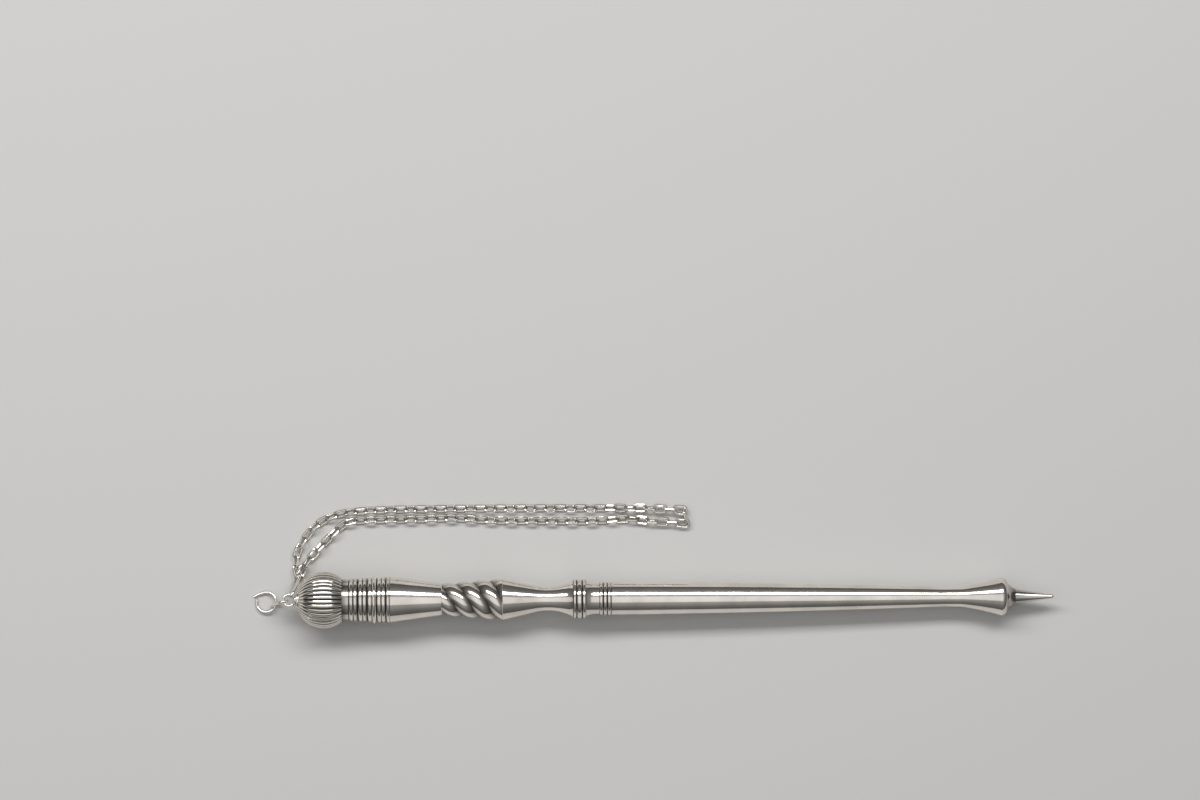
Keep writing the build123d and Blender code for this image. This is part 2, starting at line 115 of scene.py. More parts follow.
@dataclass(frozen=True)
class Finish:
    """Worn metal: bright where it is rubbed, darker and duller in its recesses, where the darkening is
    painted shade with tarnished metal.

    Attributes:
        name: Name of the material.
        tint: Colour of the clean metal.
        tarnish_shade_colour: Colour of tarnished metal, which is also the colour of the painted shade in
            the recesses.
        tarnish_and_shade: How much of that colour shows in the deepest recess, as painted shade with
            tarnished metal.
        gloss: Lowest and highest roughness of the clean metal.
        grain: Way that the tool marks run.
        marks: Height of the tool marks, in metres.
        dents: Height of the broad unevenness left by polishing, in metres.
    """

    name: str
    tint: Point
    tarnish_shade_colour: Point
    tarnish_and_shade: float
    gloss: tuple[float, float]
    grain: Grain
    marks: float
    dents: float

    def material(self) -> bpy.types.Material:
        """Make the material, or give back the one already made.

        Returns:
            The node material of this finish.
        """
        made = bpy.data.materials.get(self.name)
        if made is not None:
            return made
        made = bpy.data.materials.new(self.name)
        made.use_nodes = True
        tree = made.node_tree
        shader = tree.nodes["Principled BSDF"]
        shader.inputs["Metallic"].default_value = 1.0
        place = tree.nodes.new("ShaderNodeTexCoord")
        recess = tree.nodes.new("ShaderNodeAttribute")
        recess.attribute_name = RECESS

        bloom = self._noise(tree, place.outputs["Object"], *BLOOM)
        film = self._range(tree, bloom, BLOOM_RANGE, (0.0, FILM))
        # Recess darkening, painted shade with tarnished metal, joined with the tarnished film on open metal
        depth = self._math(tree, "MULTIPLY", recess.outputs["Fac"], self.tarnish_and_shade)
        tarnish_and_shade = self._math(tree, "MAXIMUM", depth, film)
        colour = tree.nodes.new("ShaderNodeMix")
        colour.data_type = "RGBA"
        colour.inputs["A"].default_value = (*self.tint, 1.0)
        colour.inputs["B"].default_value = (*self.tarnish_shade_colour, 1.0)
        tree.links.new(tarnish_and_shade, colour.inputs["Factor"])
        tree.links.new(colour.outputs["Result"], shader.inputs["Base Color"])

        smear = self._noise(tree, place.outputs["Object"], *SMEAR)
        worn = self._range(tree, smear, SMEAR_RANGE, self.gloss)
        dull = self._math(tree, "MULTIPLY_ADD", tarnish_and_shade, DULLING, worn)
        tree.links.new(dull, shader.inputs["Roughness"])

        turn = tree.nodes.new("ShaderNodeMapping")
        turn.inputs["Scale"].default_value = self.grain.value
        tree.links.new(place.outputs["Object"], turn.inputs["Vector"])
        lines = self._noise(tree, turn.outputs["Vector"], *TOOL_LINES)
        swell = self._noise(tree, place.outputs["Object"], *SWELL)
        fine = self._bump(tree, lines, self.marks, None)
        broad = self._bump(tree, swell, self.dents, fine)
        tree.links.new(broad, shader.inputs["Normal"])
        return made

    @staticmethod
    def _noise(
        tree: bpy.types.NodeTree, vector: bpy.types.NodeSocket, scale: float, detail: float
    ) -> bpy.types.NodeSocket:
        """Add a noise pattern.

        Args:
            tree: Node tree to add to.
            vector: Place that the pattern reads.
            scale: Repeats in a metre.
            detail: Octaves of finer noise.

        Returns:
            The pattern's height, from 0 to 1.
        """
        node = tree.nodes.new("ShaderNodeTexNoise")
        node.inputs["Scale"].default_value = scale
        node.inputs["Detail"].default_value = detail
        tree.links.new(vector, node.inputs["Vector"])
        return node.outputs["Fac"]

    @staticmethod
    def _range(
        tree: bpy.types.NodeTree,
        value: bpy.types.NodeSocket,
        source: tuple[float, float],
        result: tuple[float, float],
    ) -> bpy.types.NodeSocket:
        """Stretch a value from one range to another.

        Args:
            tree: Node tree to add to.
            value: Value to stretch.
            source: Range that the value comes in.
            result: Range that it is stretched to.

        Returns:
            The stretched value, held inside the result's range.
        """
        node = tree.nodes.new("ShaderNodeMapRange")
        for name, number in zip(("From Min", "From Max", "To Min", "To Max"), (*source, *result)):
            node.inputs[name].default_value = number
        tree.links.new(value, node.inputs["Value"])
        return node.outputs["Result"]

    @staticmethod
    def _math(
        tree: bpy.types.NodeTree,
        operation: str,
        first: bpy.types.NodeSocket,
        second: bpy.types.NodeSocket | float,
        third: bpy.types.NodeSocket | None = None,
    ) -> bpy.types.NodeSocket:
        """Add a sum.

        Args:
            tree: Node tree to add to.
            operation: Kind of sum.
            first: First value.
            second: Second value, a socket or a number.
            third: Third value, if the sum has one.

        Returns:
            The sum's result.
        """
        node = tree.nodes.new("ShaderNodeMath")
        node.operation = operation
        tree.links.new(first, node.inputs[0])
        if isinstance(second, float):
            node.inputs[1].default_value = second
        else:
            tree.links.new(second, node.inputs[1])
        if third is not None:
            tree.links.new(third, node.inputs[2])
        return node.outputs["Value"]

    @staticmethod
    def _bump(
        tree: bpy.types.NodeTree,
        height: bpy.types.NodeSocket,
        distance: float,
        under: bpy.types.NodeSocket | None,
    ) -> bpy.types.NodeSocket:
        """Add a bump.

        Args:
            tree: Node tree to add to.
            height: Pattern that gives the height.
            distance: Height of the pattern, in metres.
            under: Normal that this bump lies on, if any.

        Returns:
            The bumped normal.
        """
        node = tree.nodes.new("ShaderNodeBump")
        node.inputs["Distance"].default_value = distance
        tree.links.new(height, node.inputs["Height"])
        if under is not None:
            tree.links.new(under, node.inputs["Normal"])
        return node.outputs["Normal"]


# The polished, wire and chain finishes darken recesses and meeting places as painted shade, with tarnished
# metal in the grooves
POLISHED_SILVER = Finish(
    name="handled_silver_painted_shade",
    tint=(0.91, 0.86, 0.795),
    tarnish_shade_colour=(0.1, 0.088, 0.078),
    tarnish_and_shade=0.92,
    gloss=(0.06, 0.13),
    grain=Grain.TURNED,
    marks=0.0000012,
    dents=0.00002,
)
SILVER_WIRE = Finish(
    name="handled_wire_painted_shade",
    tint=(0.89, 0.85, 0.79),
    tarnish_shade_colour=(0.14, 0.125, 0.11),
    tarnish_and_shade=0.75,
    gloss=(0.09, 0.18),
    grain=Grain.DRAWN,
    marks=0.000003,
    dents=0.00001,
)
CHAIN_SILVER = Finish(
    name="handled_chain",
    tint=(0.88, 0.85, 0.8),
    tarnish_shade_colour=(0.1, 0.09, 0.08),
    tarnish_and_shade=0.85,
    gloss=(0.09, 0.18),
    grain=Grain.DRAWN,
    marks=0.000003,
    dents=0.000008,
)
ROD_STEEL = Finish(
    name="turned_steel",
    tint=(0.56, 0.55, 0.54),
    tarnish_shade_colour=(0.3, 0.28, 0.26),
    tarnish_and_shade=0.3,
    gloss=(0.3, 0.45),
    grain=Grain.BRUSHED,
    marks=0.000003,
    dents=0.00001,
)


def deselect_all() -> None:
    """Go to object mode with nothing selected."""
    if bpy.context.mode != "OBJECT":
        bpy.ops.object.mode_set(mode="OBJECT")
    bpy.ops.object.select_all(action="DESELECT")


def name_piece(name: str) -> bpy.types.Object:
    """Name the object that was just added.

    Args:
        name: Name of the object and its mesh.

    Returns:
        The object.
    """
    piece = bpy.context.object
    piece.name = name
    piece.data.name = name
    return piece


def pick_alone(piece: bpy.types.Object) -> None:
    """Select one object and make it the active one.

    Args:
        piece: Object to select.
    """
    deselect_all()
    piece.select_set(True)
    bpy.context.view_layer.objects.active = piece


def select_points(piece: bpy.types.Object, wanted: Callable[[bpy.types.MeshVertex], bool]) -> None:
    """Select the points of a mesh that pass a test, and go to edit mode.

    Args:
        piece: Object whose mesh is edited.
        wanted: Test of a point.
    """
    pick_alone(piece)
    mesh = piece.data
    mesh.polygons.foreach_set("select", [False] * len(mesh.polygons))
    mesh.edges.foreach_set("select", [False] * len(mesh.edges))
    mesh.vertices.foreach_set("select", [wanted(point) for point in mesh.vertices])
    bpy.context.tool_settings.mesh_select_mode = (True, False, False)
    bpy.ops.object.mode_set(mode="EDIT")


def select_open_edges() -> None:
    """In edit mode, select the edges that border a hole."""
    bpy.ops.mesh.select_all(action="DESELECT")
    bpy.context.tool_settings.mesh_select_mode = (False, True, False)
    bpy.ops.mesh.select_non_manifold(
        extend=False, use_wire=True, use_multi_face=False, use_non_contiguous=False, use_verts=False
    )


def border_points(piece: bpy.types.Object) -> set[int]:
    """Points of a mesh that border a hole.

    Args:
        piece: Object to look at.

    Returns:
        The points' numbers.
    """
    pick_alone(piece)
    bpy.ops.object.mode_set(mode="EDIT")
    select_open_edges()
    bpy.ops.object.mode_set(mode="OBJECT")
    return {point for edge in piece.data.edges if edge.select for point in edge.vertices}


def face_outwards(piece: bpy.types.Object) -> None:
    """Merge doubled points and turn all the faces of a mesh outwards.

    Args:
        piece: Object to mend, modelled in millimetres.
    """
    pick_alone(piece)
    bpy.ops.object.mode_set(mode="EDIT")
    bpy.ops.mesh.select_all(action="SELECT")
    bpy.ops.mesh.remove_doubles(threshold=DOUBLE_GAP)
    bpy.ops.mesh.normals_make_consistent(inside=False)
    bpy.ops.object.mode_set(mode="OBJECT")


def tarnish_and_shade(piece: bpy.types.Object, depth: Callable[[Vector], float]) -> None:
    """Keep on each point how deep in a recess it lies, for the finish to darken as painted shade, with
    tarnished metal in the grooves.

    Args:
        piece: Object to mark.
        depth: Share of the full depth at a point, from 0 to 1.
    """
    layer = piece.data.attributes.new(RECESS, "FLOAT", "POINT")
    layer.data.foreach_set("value", [min(1.0, max(0.0, depth(point.co))) for point in piece.data.vertices])


def hollow(share: float) -> float:
    """Darkening of a groove, painted shade with tarnished metal, which is soft at its lip and full from
    half its depth.

    Args:
        share: Share of the groove's full depth.

    Returns:
        The darkening, from 0 to 1.
    """
    step = min(1.0, max(0.0, (share - GROOVE_LIP) / GROOVE_FADE))
    return step * step * (3 - 2 * step)


def set_in_place(piece: bpy.types.Object, place: Matrix) -> None:
    """Smooth a piece and put its place into its mesh.

    Args:
        piece: Object modelled in millimetres.
        place: Where its own frame lies, in metres.
    """
    pick_alone(piece)
    bpy.ops.object.shade_smooth_by_angle(angle=SMOOTH_ANGLE)
    piece.matrix_world = place @ Matrix.Scale(MM, 4)
    bpy.ops.object.transform_apply(location=True, rotation=True, scale=True)


def dress(piece: bpy.types.Object, finish: Finish, slot: Slot, body: Body, *nodes: str) -> bpy.types.Object:
    """Give a piece its finish, its body and the frame's nodes that it stands for.

    Args:
        piece: Finished object.
        finish: Finish that it gets.
        slot: Slot of the record that the finish belongs to. Not used.
        body: Body that it moves with.
        *nodes: Nodes of the frame that it replaces.

    Returns:
        The piece.
    """
    piece.data.materials.clear()
    piece.data.materials.append(finish.material())
    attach(piece, body.value)
    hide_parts(*nodes)
    log.info("%s: %d faces on body %s", piece.name, len(piece.data.polygons), body.value)
    return piece


def arc(start: Station, middle: Station, end: Station, count: int) -> list[Station]:
    """Stations along the arc through three stations.

    Args:
        start: First station.
        middle: Station somewhere between the ends.
        end: Last station.
        count: Number of steps.

    Returns:
        The stations, both ends with them.
    """
    (ax, ay), (bx, by), (cx, cy) = start, middle, end
    span = 2 * (ax * (by - cy) + bx * (cy - ay) + cx * (ay - by))
    a, b, c = ax * ax + ay * ay, bx * bx + by * by, cx * cx + cy * cy
    x = (a * (by - cy) + b * (cy - ay) + c * (ay - by)) / span
    y = (a * (cx - bx) + b * (ax - cx) + c * (bx - ax)) / span
    radius = math.hypot(ax - x, ay - y)
    first = math.atan2(ay - y, ax - x)
    sweep = math.remainder(math.atan2(cy - y, cx - x) - first, math.tau)
    turns = [first + sweep * step / count for step in range(count + 1)]
    return [(x + radius * math.cos(turn), y + radius * math.sin(turn)) for turn in turns]


def bead(foot: Station, crest: Station, next_foot: Station, count: int) -> list[Station]:
    """Stations over a rounded bead, without its last foot.

    Args:
        foot: Where the bead begins.
        crest: Its top.
        next_foot: Where it ends.
        count: Number of steps.

    Returns:
        The stations from the first foot to the one before the last.
    """
    stations = []
    for step in range(count):
        turn = math.pi * step / count
        low = foot if turn < math.pi / 2 else next_foot
        along = crest[0] - abs(crest[0] - low[0]) * math.cos(turn)
        stations.append((along, low[1] + (crest[1] - low[1]) * math.sin(turn)))
    return stations


def extrude_ring(along: float, scale: float, shift: float) -> None:
    """In edit mode, extrude the selected ring along the axis and give it a new radius.

    Args:
        along: Place of the new ring.
        scale: New radius over the old one.
        shift: Step along the axis.
    """
    bpy.ops.mesh.extrude_region_move(TRANSFORM_OT_translate={"value": (shift, 0, 0)})
    bpy.ops.transform.resize(value=(1, scale, scale), center_override=(along, 0, 0))


def start_ring(name: str, sides: int, station: Station) -> bpy.types.Object:
    """Add the first ring of a turned piece and go to edit mode with it selected.

    Args:
        name: Name of the piece.
        sides: Points round the ring.
        station: Place and radius of the ring.

    Returns:
        The new object, its axis along x.
    """
    deselect_all()
    bpy.ops.mesh.primitive_circle_add(vertices=sides, radius=station[1])
    piece = name_piece(name)
    piece.matrix_world = Matrix.Translation((station[0], 0, 0)) @ Matrix(
        ((0, 0, 1, 0), (1, 0, 0, 0), (0, 1, 0, 0), (0, 0, 0, 1))
    )
    bpy.ops.object.transform_apply(location=True, rotation=True, scale=True)
    bpy.ops.object.mode_set(mode="EDIT")
    bpy.ops.mesh.select_all(action="SELECT")
    return piece


def close_ends(piece: bpy.types.Object, closing: Closing) -> None:
    """Close a turned wall, by a bore between its two open rings or by a pole at each.

    Args:
        piece: Object in edit mode.
        closing: Way to close it.
    """
    if closing is Closing.BORE:
        select_open_edges()
        bpy.ops.mesh.bridge_edge_loops()
    else:
        bpy.ops.object.mode_set(mode="OBJECT")
        rings = (piece.data.vertices[0].co.x, piece.data.vertices[len(piece.data.vertices) - 1].co.x)
        for along in rings:
            border = border_points(piece)
            select_points(piece, lambda point: point.index in border and abs(point.co.x - along) < RING_GAP)
            bpy.ops.mesh.extrude_region_move()
            bpy.ops.mesh.merge(type="CENTER")
    face_outwards(piece)


def turn_piece(
    name: str, stations: Sequence[Station], closing: Closing, sides: int = 96
) -> bpy.types.Object:
    """Turn a closed piece from the stations of its outline, as on a lathe.

    Args:
        name: Name of the piece.
        stations: Place and radius of each ring, in order along the outline.
        closing: Way to close the wall.
        sides: Points round a ring.

    Returns:
        The piece, in millimetres, its axis along x.
    """
    piece = start_ring(name, sides, stations[0])
    for last, now in zip(stations, stations[1:]):
        extrude_ring(now[0], now[1] / last[1], now[0] - last[0])
    close_ends(piece, closing)
    return piece


def bend_link(
    name: str, length: float, width: float, wire: float, turns: int, sides: int
) -> bpy.types.Object:
    """Bend a wire into an oval link: a ring, cut in two, drawn apart and bridged.

    Args:
        name: Name of the link.
        length: Outside length.
        width: Outside width.
        wire: Thickness of the wire.
        turns: Steps round the ring.
        sides: Sides of the wire.

    Returns:
        The link, in millimetres, its length along x and flat on xy.
    """
    deselect_all()
    bpy.ops.mesh.primitive_torus_add(
        major_radius=(width - wire) / 2, minor_radius=wire / 2, major_segments=turns, minor_segments=sides
    )
    link = name_piece(name)
    middles = {face.index for face in link.data.polygons if face.center.x > 0}
    pick_alone(link)
    link.data.vertices.foreach_set("select", [False] * len(link.data.vertices))
    link.data.edges.foreach_set("select", [False] * len(link.data.edges))
    link.data.polygons.foreach_set("select", [face.index in middles for face in link.data.polygons])
    bpy.context.tool_settings.mesh_select_mode = (False, False, True)
    bpy.ops.object.mode_set(mode="EDIT")
    bpy.ops.mesh.split()
    bpy.ops.transform.translate(value=((length - width) / 2, 0, 0))
    bpy.ops.mesh.select_all(action="INVERT")
    bpy.ops.transform.translate(value=(-(length - width) / 2, 0, 0))
    for side in (1, -1):
        border = border_points(link)
        select_points(link, lambda point: point.index in border and point.co.y * side > 0)
        bpy.ops.mesh.bridge_edge_loops()
    face_outwards(link)
    return link


def plane_matrix(origin: Vector, along: Vector, normal: Vector) -> Matrix:
    """Frame of a link: x along its length, z square to it.

    Args:
        origin: Middle of the link.
        along: Direction of its length.
        normal: Direction square to its plane.

    Returns:
        The frame's matrix.
    """
    across = normal.cross(along)
    frame_axes = Matrix((along, across, normal)).transposed().to_4x4()
    return Matrix.Translation(origin) @ frame_axes


@dataclass
class Axis:
    """The pointer's own axis, which leans a little from the knob down to the bud.

    Attributes:
        start: Place of the knob's outer end, in metres.
        lean: Slope of the axis, in radians.
        bore: Radius of the bore that the rod runs in.
        edge: Break of the edges where two sections meet.
    """

    start: Point = (-0.092637236, 0.0, 0.007479301)
    lean: float = 0.013243
    bore: float = 1.55
    edge: float = 0.1

    def place(self) -> Matrix:
        """Frame of the axis: x towards the tip, z up."""
        return Matrix.Translation(self.start) @ Matrix.Rotation(self.lean, 4, "Y")

    def section(self, start: float, outline: Sequence[Station], end: float) -> list[Station]:
        """Outline of a bored section with both its edges broken.

        Args:
            start: Place of its first end face.
            outline: Stations of its outside.
            end: Place of its last end face.

        Returns:
            The whole outline, from bore to bore.
        """
        first, last = outline[0][1], outline[-1][1]
        return [
            (start, self.bore),
            (start, first - self.edge),
            (start + self.edge, first),
            *outline[1:-1],
            (end - self.edge, last),
            (end, last - self.edge),
            (end, self.bore),
        ]


@dataclass
class Handle:
    """Fluted knob, ribbed collar, tapered barrel, rope-twist grip and waisted sleeve."""

    axis: Axis
    knob_radius: float = 7.4
    knob_face_radius: float = 3.5
    knob_back_radius: float = 5.7
    knob_neck_length: float = 1.8
    knob_neck_radius: float = 5.36
    knob_lobes: int = 36
    lobe_columns: int = 8
    knob_bands: int = 26
    flute_depth: float = 0.06
    # Fixed darkening of the neck between the ball and the collar: painted shade with tarnished metal
    neck_tarnish_shade: float = 0.2
    least_reach: float = 0.1
    shank_hole: Station = (3.6, 0.85)
    rod_depth: float = 6.2
    rib_pairs: int = 4
    pair_pitch: float = 2.45
    rib_spacing: float = 0.98
    rib_depth: float = 0.55
    rib_notch: float = 0.3
    rib_radii: tuple[float, float] = (5.65, 6.15)
    last_rib_width: float = 1.0
    great_pair: int = 2
    great_rib_rise: float = 0.5
    rib_steps: int = 12
    barrel_length: float = 13.5
    barrel_radius: float = 6.1
    grip_length: float = 15.8
    grip_radii: tuple[float, float] = (4.2, 5.6)
    grip_strands: int = 3
    strand_columns: int = 24
    grip_lead: float = 13.4
    grip_groove: float = 0.15
    grip_bands: int = 72
    drill_overrun: float = 1.0
    cone_length: float = 8.4
    cone_end_radius: float = 3.6
    waist_reach: float = 12.6
    waist_radius: float = 3.15
    waist_steps: int = 16
    sleeve_length: float = 18.5
    sleeve_mouth_radius: float = 4.9

    @property
    def knob_centre(self) -> float:
        """Place of the knob's middle, from the width of its flat face."""
        return math.sqrt(self.knob_radius**2 - self.knob_face_radius**2)

    @property
    def knob_neck_start(self) -> float:
        """Place where the ball ends and the knob's neck begins."""
        return self.knob_centre + math.sqrt(self.knob_radius**2 - self.knob_back_radius**2)

    @property
    def collar_start(self) -> float:
        """Place where the collar seats on the knob's neck."""
        return self.knob_neck_start + self.knob_neck_length

    @property
    def barrel_start(self) -> float:
        """Place where the barrel seats on the collar."""
        return self.collar_start + self.rib_pairs * self.pair_pitch + self.last_rib_width

    @property
    def grip_start(self) -> float:
        """Place where the grip seats on the barrel."""
        return self.barrel_start + self.barrel_length

    @property
    def sleeve_start(self) -> float:
        """Place where the sleeve seats on the grip."""
        return self.grip_start + self.grip_length

    @property
    def sleeve_end(self) -> float:
        """Place of the sleeve's mouth."""
        return self.sleeve_start + self.sleeve_length

    def build(self) -> None:
        """Build the five sections of the handle, and give the rod inside them its steel finish."""
        self.build_knob()
        self.build_collar()
        self.build_barrel()
        self.build_grip()
        self.build_sleeve()
        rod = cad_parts["tie_rod"]
        rod.data.materials.clear()
        rod.data.materials.append(ROD_STEEL.material())

    def finish(self, piece: bpy.types.Object, node: str) -> None:
        """Set a section on the axis, in place of its node, and polish it."""
        set_in_place(piece, self.axis.place())
        dress(piece, POLISHED_SILVER, Slot.POLISHED, Body.POINTER, node)

    def build_knob(self) -> None:
        """Build the fluted knob: a banded ball whose meridians are drawn in between its lobes."""
        sides = self.knob_lobes * self.lobe_columns
        low = -math.acos(self.knob_face_radius / self.knob_radius)
        high = math.asin((self.knob_neck_start - self.knob_centre) / self.knob_radius)
        ball = []
        for band in range(self.knob_bands + 1):
            latitude = low + (high - low) * band / self.knob_bands
            along = self.knob_centre + self.knob_radius * math.sin(latitude)
            ball.append((along, self.knob_radius * math.cos(latitude)))
        neck_end = self.collar_start
        outline = [
            self.shank_hole,
            (0.0, self.shank_hole[1]),
            *ball,
            (self.knob_neck_start, self.knob_neck_radius),
            (neck_end - self.axis.edge, self.knob_neck_radius),
            (neck_end, self.knob_neck_radius - self.axis.edge),
            (neck_end, self.axis.bore),
            (neck_end - self.rod_depth, self.axis.bore),
        ]
        knob = start_ring("fluted_knob", sides, outline[0])
        for last, now in zip(outline, outline[1:]):
            extrude_ring(now[0], now[1] / last[1], now[0] - last[0])
        bpy.ops.object.mode_set(mode="OBJECT")
        ball_rings = range(2, 2 + len(ball))
        for offset in range(self.lobe_columns):
            share = self.lobe_share(offset)
            draw = 1 - self.flute_depth * (1 - math.sqrt(1 - share * share))
            select_points(
                knob,
                lambda point: point.index // sides in ball_rings
                and point.index % self.lobe_columns == offset,
            )
            bpy.ops.transform.resize(value=(1, draw, draw), center_override=(0, 0, 0))
            bpy.ops.object.mode_set(mode="OBJECT")
        bpy.ops.object.mode_set(mode="EDIT")
        close_ends(knob, Closing.POLES)
        tarnish_and_shade(knob, self.flute_recess)
        self.finish(knob, "melon_knob")

    def lobe_share(self, offset: int) -> float:
        """Share of the way from a lobe's crest to its groove, at a column counted from the groove."""
        half = self.lobe_columns / 2
        return abs(offset - half) / half

    def flute_recess(self, point: Vector) -> float:
        """Darkening of a point of the knob in its flutes, from its depth as a share of the full depth:
        painted shade with tarnished metal; the neck gets a fixed share.
        """
        if point.x > self.knob_neck_start + RING_GAP:
            return self.neck_tarnish_shade
        squared = self.knob_radius**2 - (point.x - self.knob_centre) ** 2
        reach = math.sqrt(max(self.least_reach**2, squared))
        return hollow((1 - math.hypot(point.y, point.z) / reach) / self.flute_depth)

    def build_collar(self) -> None:
        """Build the collar of rounded ribs in pairs, one of which stands higher, and a last one alone."""
        first, last = self.rib_radii
        step = (last - first) / self.rib_pairs
        ribs: list[Station] = []
        for pair in range(self.rib_pairs):
            crest = first + step * pair
            begin = self.collar_start + pair * self.pair_pitch
            middle = begin + self.pair_pitch / 2
            notch = (middle, crest - self.rib_notch)
            rise = self.great_rib_rise if pair == self.great_pair else 0.0
            groove = (begin, crest - self.rib_depth)
            next_groove = (begin + self.pair_pitch, crest + step - self.rib_depth)
            ribs += bead(groove, (middle - self.rib_spacing / 2, crest), notch, self.rib_steps)
            ribs += bead(notch, (middle + self.rib_spacing / 2, crest + rise), next_groove, self.rib_steps)
        end = self.barrel_start
        groove = (end - self.last_rib_width, last - self.rib_depth)
        foot = (end, last - self.rib_notch)
        ribs += bead(groove, (end - self.last_rib_width / 2, last), foot, self.rib_steps)
        outline = [(self.collar_start, self.axis.bore), *ribs, foot, (end, self.axis.bore)]
        collar = turn_piece("rib_collar", outline, Closing.BORE)
        tarnish_and_shade(collar, self.rib_recess)
        self.finish(collar, "ribbed_collar")

    def rib_recess(self, point: Vector) -> float:
        """Depth of a point of the collar between its ribs, as a share of the full depth, which darkens it
        as painted shade with tarnished metal.
        """
        first, last = self.rib_radii
        share = (point.x - self.collar_start) / (self.barrel_start - self.collar_start)
        crest = first + (last - first) * share
        return hollow((crest - math.hypot(point.y, point.z)) / self.rib_depth)

    def build_barrel(self) -> None:
        """Build the plain tapered barrel."""
        outside = [(self.barrel_start, self.barrel_radius), (self.grip_start, self.grip_radii[0])]
        outline = self.axis.section(self.barrel_start, outside, self.grip_start)
        barrel = turn_piece("plain_barrel", outline, Closing.BORE)
        tarnish_and_shade(barrel, lambda point: 0.0)
        self.finish(barrel, "tapered_barrel")

    def build_grip(self) -> None:
        """Build the rope-twist grip: a lobed ring, extruded and turned band by band, then bored."""
        sides = self.grip_strands * self.strand_columns
        first, last = self.grip_radii
        grip = start_ring("rope_grip", sides, (self.grip_start, first))
        bpy.ops.object.mode_set(mode="OBJECT")
        for offset in range(self.strand_columns):
            turn = math.tau * offset / sides
            draw = 1 - self.grip_groove * (1 - abs(math.cos(self.grip_strands * turn / 2)))
            select_points(grip, lambda point: point.index % self.strand_columns == offset)
            bpy.ops.transform.resize(value=(1, draw, draw), center_override=(self.grip_start, 0, 0))
            bpy.ops.object.mode_set(mode="OBJECT")
        bpy.ops.object.mode_set(mode="EDIT")
        bpy.ops.mesh.select_all(action="SELECT")
        step = self.grip_length / self.grip_bands
        widen = (last - first) / self.grip_bands
        for band in range(1, self.grip_bands + 1):
            along = self.grip_start + step * band
            extrude_ring(along, (first + widen * band) / (first + widen * (band - 1)), step)
            bpy.ops.transform.rotate(
                value=-math.tau * step / self.grip_lead, orient_axis="X", center_override=(along, 0, 0)
            )
        close_ends(grip, Closing.POLES)
        self.bore_out(grip, self.grip_start - self.drill_overrun, self.grip_length + 2 * self.drill_overrun)
        tarnish_and_shade(grip, self.strand_recess)
        self.finish(grip, "twisted_grip")

    def bore_out(self, piece: bpy.types.Object, start: float, length: float) -> None:
        """Bore a piece out along the axis.

        Args:
            piece: Piece to bore.
            start: Place where the drill begins.
            length: Length of the drill.
        """
        wall = [(start, self.axis.bore), (start + length, self.axis.bore)]
        drill = turn_piece("drill", wall, Closing.POLES)
        pick_alone(piece)
        cut = piece.modifiers.new("bore", "BOOLEAN")
        cut.operation = "DIFFERENCE"
        cut.solver = "EXACT"
        cut.object = drill
        bpy.ops.object.modifier_apply(modifier=cut.name)
        bpy.data.meshes.remove(drill.data)

    def strand_recess(self, point: Vector) -> float:
        """Depth of a point of the grip between its strands, as a share of the full depth, which darkens it
        as painted shade with tarnished metal.
        """
        first, last = self.grip_radii
        crest = first + (last - first) * (point.x - self.grip_start) / self.grip_length
        return (1 - math.hypot(point.y, point.z) / crest) / self.grip_groove

    def build_sleeve(self) -> None:
        """Build the sleeve that narrows to a waist and flares again."""
        cone_end = self.sleeve_start + self.cone_length
        waist = arc(
            (cone_end, self.cone_end_radius),
            (self.sleeve_start + self.waist_reach, self.waist_radius),
            (self.sleeve_end, self.sleeve_mouth_radius),
            self.waist_steps,
        )
        outside = [(self.sleeve_start, self.grip_radii[1]), *waist]
        outline = self.axis.section(self.sleeve_start, outside, self.sleeve_end)
        sleeve = turn_piece("waisted_sleeve", outline, Closing.BORE)
        tarnish_and_shade(sleeve, lambda point: 0.0)
        self.finish(sleeve, "waist_sleeve")


